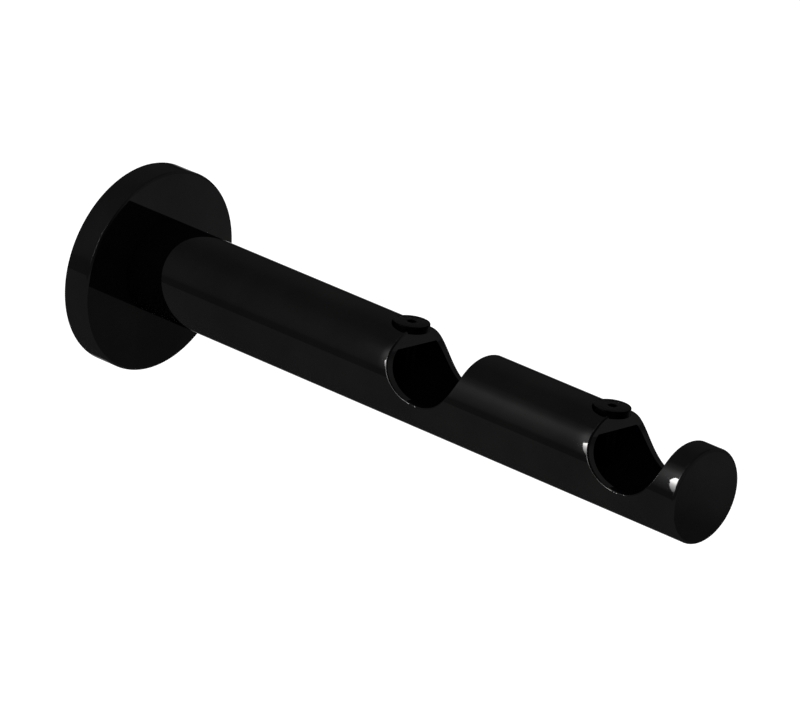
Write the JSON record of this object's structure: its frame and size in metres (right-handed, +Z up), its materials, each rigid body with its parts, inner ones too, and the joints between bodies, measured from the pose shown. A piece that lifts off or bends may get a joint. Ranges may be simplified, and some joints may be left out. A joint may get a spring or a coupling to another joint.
{
  "type": "curtain pole bracket",
  "caption": "Double curtain pole bracket: a hollow round arm on a round wall rose, with open-topped saddles and clamp screws for parallel poles.",
  "frame": {"origin": "centre of the rose's back face, on the wall", "axes": "+Y into the wall, so the arm projects along -Y; poles lie along X; +Z up, the way the saddles open"},
  "size_m": [0.048, 0.1717, 0.048],
  "materials": {
    "black_nickel": "polished black nickel plate",
    "blackened_steel": "black oxide, semi-gloss",
    "cast_zinc": "plain cast zinc, dull"
  },
  "bodies": {
    "bracket": {"rose": "black_nickel", "wall_plate": "cast_zinc", "arm": "black_nickel", "grub_screw": "blackened_steel"},
    "rear_screw": {"rear_clamp_screw": "blackened_steel"},
    "front_screw": {"front_clamp_screw": "blackened_steel"}
  },
  "joints": [
    {"name": "rear_screw_travel", "type": "slide", "parent": "bracket", "child": "rear_screw", "axis": [0, 0, 1], "range_m": [0, 0.008]},
    {"name": "front_screw_travel", "type": "slide", "parent": "bracket", "child": "front_screw", "axis": [0, 0, 1], "range_m": [0, 0.008]}
  ]
}
